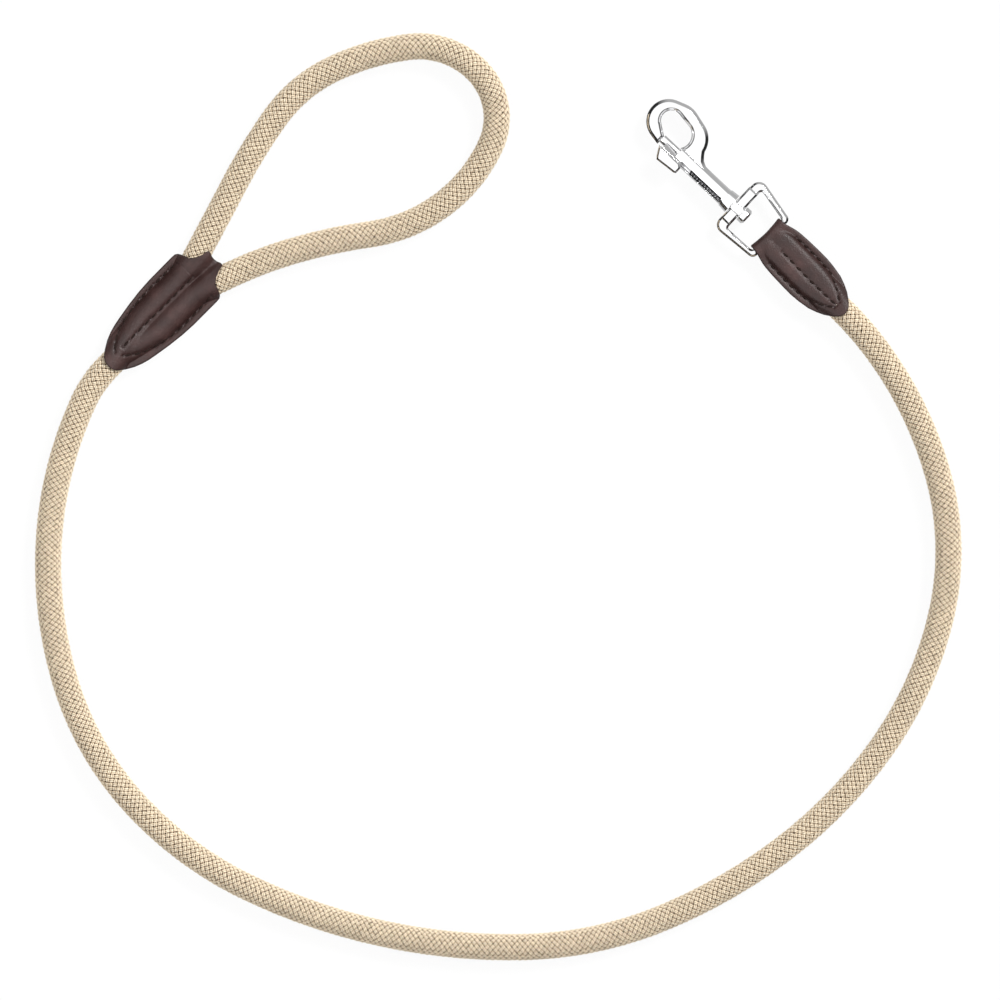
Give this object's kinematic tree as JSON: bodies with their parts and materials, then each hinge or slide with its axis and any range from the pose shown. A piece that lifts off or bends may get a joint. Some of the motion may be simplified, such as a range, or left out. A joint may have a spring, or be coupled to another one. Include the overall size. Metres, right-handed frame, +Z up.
{
  "type": "training leash",
  "caption": "Braided cord training leash with a hand loop, stitched leather ends and a swivel bolt snap.",
  "frame": {"origin": "centre of the flat layout's box, at the level it rests on", "axes": "+Z up from the surface it lies on; +Y from the lead's bend towards the hand loop and snap; +X from the hand loop towards the snap"},
  "size_m": [0.4218, 0.422, 0.0155],
  "materials": {
    "cord_sheath": "matte",
    "cord_core": "matte",
    "leather": "satin",
    "thread": "matte",
    "chrome": "polished",
    "spring_steel": "satin"
  },
  "bodies": {
    "handle": {"handle_leather_front": "leather", "handle_leather_back": "leather", "handle_stitches_left": "thread", "handle_stitches_middle": "thread", "handle_stitches_right": "thread", "splice_sheath": "cord_sheath", "splice_core": "cord_core", "tail_sheath": "cord_sheath", "tail_core": "cord_core"},
    "hand_loop": {"hand_loop_sheath": "cord_sheath", "hand_loop_core": "cord_core"},
    "lead_01": {"lead_sheath_01": "cord_sheath", "lead_core_01": "cord_core"},
    "lead_02": {"lead_sheath_02": "cord_sheath", "lead_core_02": "cord_core"},
    "lead_03": {"lead_sheath_03": "cord_sheath", "lead_core_03": "cord_core"},
    "lead_04": {"lead_sheath_04": "cord_sheath", "lead_core_04": "cord_core"},
    "lead_05": {"lead_sheath_05": "cord_sheath", "lead_core_05": "cord_core"},
    "lead_06": {"lead_sheath_06": "cord_sheath", "lead_core_06": "cord_core"},
    "lead_07": {"lead_sheath_07": "cord_sheath", "lead_core_07": "cord_core"},
    "lead_08": {"lead_sheath_08": "cord_sheath", "lead_core_08": "cord_core"},
    "lead_09": {"lead_sheath_09": "cord_sheath", "lead_core_09": "cord_core"},
    "lead_10": {"lead_sheath_10": "cord_sheath", "lead_core_10": "cord_core"},
    "lead_11": {"lead_sheath_11": "cord_sheath", "lead_core_11": "cord_core"},
    "lead_12": {"lead_sheath_12": "cord_sheath", "lead_core_12": "cord_core"},
    "tab": {"tab_leather": "leather", "tab_stitches_left": "thread", "tab_stitches_middle": "thread", "tab_stitches_right": "thread", "rope_end_sheath": "cord_sheath", "rope_end_core": "cord_core"},
    "eye": {"swivel_eye": "chrome"},
    "snap": {"snap_body": "chrome", "swivel_rivet": "chrome", "bolt_spring": "spring_steel"},
    "bolt": {"bolt": "chrome", "thumb_stud": "chrome"}
  },
  "joints": [
    {"name": "hand_loop_flop", "type": "hinge", "parent": "handle", "child": "hand_loop", "pos_m": [-0.12772, 0.10839, 0.00775], "axis": [0.6731, -0.7395, 0], "range_deg": [-60, 60]},
    {"name": "lead_curl_near", "type": "hinge", "parent": "handle", "child": "lead_01", "pos_m": [-0.18889, 0.04285, 0.00775], "axis": [0, 0, -1], "range_deg": [-1.5, 30.7]},
    {"name": "lead_curl_02", "type": "hinge", "parent": "lead_01", "child": "lead_02", "pos_m": [-0.20449, -0.01969, 0.00775], "axis": [0, 0, -1], "range_deg": [-1.57, 32.1]},
    {"name": "lead_lift", "type": "hinge", "parent": "lead_02", "child": "lead_03", "pos_m": [-0.19714, -0.08376, 0.00775], "axis": [-0.9586, -0.2849, 0], "range_deg": [-25, 25]},
    {"name": "lead_curl_04", "type": "hinge", "parent": "lead_03", "child": "lead_04", "pos_m": [-0.1654, -0.13964, 0.00775], "axis": [0, 0, -1], "range_deg": [-1.73, 35.5]},
    {"name": "lead_curl_middle", "type": "hinge", "parent": "lead_04", "child": "lead_05", "pos_m": [-0.11358, -0.17792, 0.00775], "axis": [0, 0, -1], "range_deg": [-0.86, 17.6]},
    {"name": "lead_curl_06", "type": "hinge", "parent": "lead_05", "child": "lead_06", "pos_m": [-0.05236, -0.1988, 0.00775], "axis": [0, 0, -1], "range_deg": [-1.08, 22.1]},
    {"name": "lead_lift_2", "type": "hinge", "parent": "lead_06", "child": "lead_07", "pos_m": [0.01202, -0.20487, 0.00775], "axis": [0.0237, -0.9997, 0], "range_deg": [-25, 25]},
    {"name": "lead_curl_08", "type": "hinge", "parent": "lead_07", "child": "lead_08", "pos_m": [0.07508, -0.19154, 0.00775], "axis": [0, 0, -1], "range_deg": [-1.3, 26.7]},
    {"name": "lead_curl_far", "type": "hinge", "parent": "lead_08", "child": "lead_09", "pos_m": [0.13104, -0.1592, 0.00775], "axis": [0, 0, -1], "range_deg": [-0.8, 16.3]},
    {"name": "lead_curl_10", "type": "hinge", "parent": "lead_09", "child": "lead_10", "pos_m": [0.1756, -0.11247, 0.00775], "axis": [0, 0, -1], "range_deg": [-1.59, 32.5]},
    {"name": "lead_lift_3", "type": "hinge", "parent": "lead_10", "child": "lead_11", "pos_m": [0.20161, -0.05352, 0.00775], "axis": [0.9751, -0.2216, 0], "range_deg": [-25, 25]},
    {"name": "lead_curl_12", "type": "hinge", "parent": "lead_11", "child": "lead_12", "pos_m": [0.19988, 0.0106, 0.00775], "axis": [0, 0, -1], "range_deg": [-1.84, 37.7]},
    {"name": "lead_curl_13", "type": "hinge", "parent": "lead_12", "child": "tab", "pos_m": [0.1711, 0.06826, 0.00775], "axis": [0, 0, -1], "range_deg": [-0.89, 18.3]},
    {"name": "eye_tilt", "type": "hinge", "parent": "tab", "child": "eye", "pos_m": [0.12326, 0.11834, 0.00775], "axis": [0.6845, 0.729, 0], "range_deg": [-80, 80]},
    {"name": "hook_swivel", "type": "hinge", "parent": "eye", "child": "snap", "pos_m": [0.10635, 0.1332, 0.00775], "axis": [0.729, -0.6845, 0], "continuous": true},
    {"name": "bolt_slide", "type": "slide", "parent": "snap", "child": "bolt", "axis": [0.729, -0.6845, 0], "range_m": [0, 0.009], "stiffness_N_per_m": 250, "springref_m": -0.004, "deforming": ["bolt_spring"]}
  ],
  "couplings": [
    {"joint": "lead_curl_02", "follows": "lead_curl_near", "ratio": 1.0456},
    {"joint": "lead_curl_04", "follows": "lead_curl_near", "ratio": 1.1564},
    {"joint": "lead_curl_06", "follows": "lead_curl_middle", "ratio": 1.2557},
    {"joint": "lead_lift_2", "follows": "lead_lift", "ratio": 1},
    {"joint": "lead_curl_08", "follows": "lead_curl_middle", "ratio": 1.517},
    {"joint": "lead_curl_10", "follows": "lead_curl_far", "ratio": 1.9939},
    {"joint": "lead_lift_3", "follows": "lead_lift", "ratio": 1},
    {"joint": "lead_curl_12", "follows": "lead_curl_far", "ratio": 2.3129},
    {"joint": "lead_curl_13", "follows": "lead_curl_far", "ratio": 1.1227}
  ]
}
